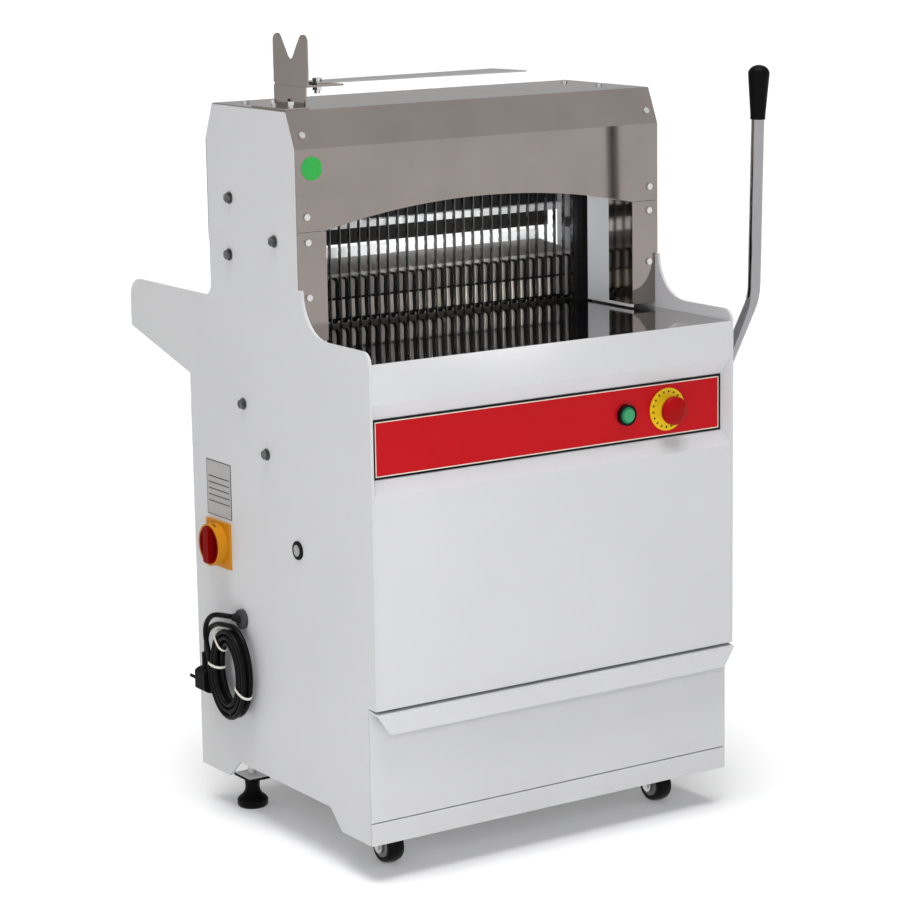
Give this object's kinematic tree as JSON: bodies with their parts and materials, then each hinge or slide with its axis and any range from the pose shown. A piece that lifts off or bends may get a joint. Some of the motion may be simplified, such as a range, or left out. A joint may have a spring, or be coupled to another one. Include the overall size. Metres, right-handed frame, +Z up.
{
  "type": "bread_slicer",
  "caption": "Floor-standing bread slicer with interleaved blade frames, a lever-fed pusher comb, crumb drawer, recessed controls, front casters and a bag holder on top",
  "frame": {"origin": "On the floor, under the middle of the machine's box without its cord", "axes": "+Z up, -Y towards the user at the front table, +X to the user's right, on the lever's side"},
  "size_m": [0.6941, 0.678, 1.1229],
  "materials": {
    "white_paint": "satin",
    "stainless": "brushed",
    "polished": "polished",
    "zinc": "satin",
    "chrome": "polished",
    "grey_steel": "satin",
    "dark_steel": "satin",
    "motor_paint": "satin",
    "red_strip": "gloss",
    "red_plastic": "gloss",
    "yellow_plastic": "gloss",
    "green_plastic": "gloss",
    "black_plastic": "gloss",
    "black_rubber": "satin",
    "grey_rubber": "matt"
  },
  "bodies": {
    "body": {"left_side_panel": "white_paint", "right_side_panel": "white_paint", "front_panel": "white_paint", "base_plate": "white_paint", "rear_panel": "white_paint", "rear_hood": "white_paint", "channel_walls": "white_paint", "cross_beams": "white_paint", "front_hood": "stainless", "top_cover": "stainless", "bag_bracket": "stainless", "front_strips": "polished", "front_table": "polished", "rear_table": "polished", "guide_rods": "polished", "drawer_runners": "zinc", "caster_mounts": "zinc", "fasteners": "zinc", "blade_guides": "grey_steel", "crank_bearings": "grey_steel", "rod_blocks": "grey_steel", "motor": "motor_paint", "control_strip": "red_strip", "stop_ring": "yellow_plastic", "switch_plate": "yellow_plastic", "start_bezel": "black_plastic", "foot_brackets": "black_plastic", "mains_plug": "black_plastic", "shaft_bushes": "black_plastic", "drive_belt": "black_rubber", "mains_cord": "black_rubber", "cord_gland": "grey_rubber"},
    "lever": {"lever_tube": "chrome", "lever_grip": "black_plastic", "lever_shaft": "zinc"},
    "pusher": {"pusher_plate": "polished", "pusher_bar": "white_paint", "pusher_slides": "grey_steel", "comb_fingers": "dark_steel"},
    "front_frame": {"front_blade_frame": "grey_steel", "front_blades": "polished"},
    "rear_frame": {"rear_blade_frame": "grey_steel", "rear_blades": "polished"},
    "front_rods": {"front_conrods": "zinc"},
    "rear_rods": {"rear_conrods": "zinc"},
    "crank": {"crankshaft": "zinc", "driven_pulley": "grey_steel"},
    "motor_rotor": {"motor_pulley": "zinc"},
    "drawer": {"crumb_drawer": "zinc", "drawer_front": "white_paint"},
    "left_swivel": {"left_caster_fork": "zinc"},
    "right_swivel": {"right_caster_fork": "zinc"},
    "left_wheel": {"left_caster_wheel": "black_rubber"},
    "right_wheel": {"right_caster_wheel": "black_rubber"},
    "left_leveller": {"left_foot": "black_plastic"},
    "right_leveller": {"right_foot": "black_plastic"},
    "start_cap": {"start_button": "green_plastic"},
    "stop_head": {"stop_button": "red_plastic"},
    "switch_handle": {"switch_knob": "red_plastic"},
    "tongue": {"bag_tongue": "polished"}
  },
  "joints": [
    {"name": "lever_swing", "type": "hinge", "parent": "body", "child": "lever", "pos_m": [0.32725, -0.13251, 0.4292], "axis": [-1, 0, 0], "range_deg": [0, 40]},
    {"name": "comb_feed", "type": "slide", "parent": "body", "child": "pusher", "axis": [0, 1, 0], "range_m": [0, 0.1505]},
    {"name": "front_frame_stroke", "type": "slide", "parent": "body", "child": "front_frame", "axis": [0, 0, 1], "range_m": [-0.04, 0]},
    {"name": "rear_frame_stroke", "type": "slide", "parent": "body", "child": "rear_frame", "axis": [0, 0, 1], "range_m": [0, 0.04]},
    {"name": "front_rod_swing", "type": "hinge", "parent": "front_frame", "child": "front_rods", "pos_m": [-0.01775, -0.01301, 0.563], "axis": [1, 0, 0], "range_deg": [-5.9, 5.9]},
    {"name": "rear_rod_swing", "type": "hinge", "parent": "rear_frame", "child": "rear_rods", "pos_m": [-0.01775, -0.01301, 0.523], "axis": [1, 0, 0], "range_deg": [-5.9, 5.9]},
    {"name": "crank_spin", "type": "hinge", "parent": "body", "child": "crank", "pos_m": [-0.01775, -0.01301, 0.348], "axis": [1, 0, 0], "continuous": true},
    {"name": "motor_spin", "type": "hinge", "parent": "body", "child": "motor_rotor", "pos_m": [0.04225, 0.09399, 0.327], "axis": [1, 0, 0], "continuous": true},
    {"name": "drawer_slide", "type": "slide", "parent": "body", "child": "drawer", "axis": [0, -1, 0], "range_m": [0, 0.38]},
    {"name": "left_caster_swivel", "type": "hinge", "parent": "body", "child": "left_swivel", "pos_m": [-0.24775, -0.25601, 0.075], "axis": [0, 0, 1], "continuous": true},
    {"name": "left_wheel_spin", "type": "hinge", "parent": "left_swivel", "child": "left_wheel", "pos_m": [-0.24775, -0.23601, 0.025], "axis": [1, 0, 0], "continuous": true},
    {"name": "left_foot_screw", "type": "slide", "parent": "body", "child": "left_leveller", "axis": [0, 0, 1], "range_m": [-0.015, 0]},
    {"name": "right_caster_swivel", "type": "hinge", "parent": "body", "child": "right_swivel", "pos_m": [0.21225, -0.25601, 0.075], "axis": [0, 0, 1], "continuous": true},
    {"name": "right_wheel_spin", "type": "hinge", "parent": "right_swivel", "child": "right_wheel", "pos_m": [0.21225, -0.23601, 0.025], "axis": [1, 0, 0], "continuous": true},
    {"name": "right_foot_screw", "type": "slide", "parent": "body", "child": "right_leveller", "axis": [0, 0, 1], "range_m": [-0.015, 0]},
    {"name": "start_press", "type": "slide", "parent": "body", "child": "start_cap", "axis": [0, 1, 0], "range_m": [0, 0.003], "stiffness_N_per_m": 400},
    {"name": "stop_press", "type": "slide", "parent": "body", "child": "stop_head", "axis": [0, 1, 0], "range_m": [0, 0.004], "stiffness_N_per_m": 600},
    {"name": "switch_turn", "type": "hinge", "parent": "body", "child": "switch_handle", "pos_m": [-0.33775, 0.08799, 0.3985], "axis": [1, 0, 0], "range_deg": [0, 90]},
    {"name": "tongue_swivel", "type": "hinge", "parent": "body", "child": "tongue", "pos_m": [-0.24075, -0.08311, 1.057], "axis": [0, 0, 1], "range_deg": [-90, 20]}
  ],
  "couplings": [
    {"joint": "comb_feed", "follows": "lever_swing", "m_per_rad": 0.2155},
    {"joint": "rear_frame_stroke", "follows": "front_frame_stroke", "ratio": -1},
    {"joint": "motor_spin", "follows": "crank_spin", "ratio": 2.3333}
  ]
}
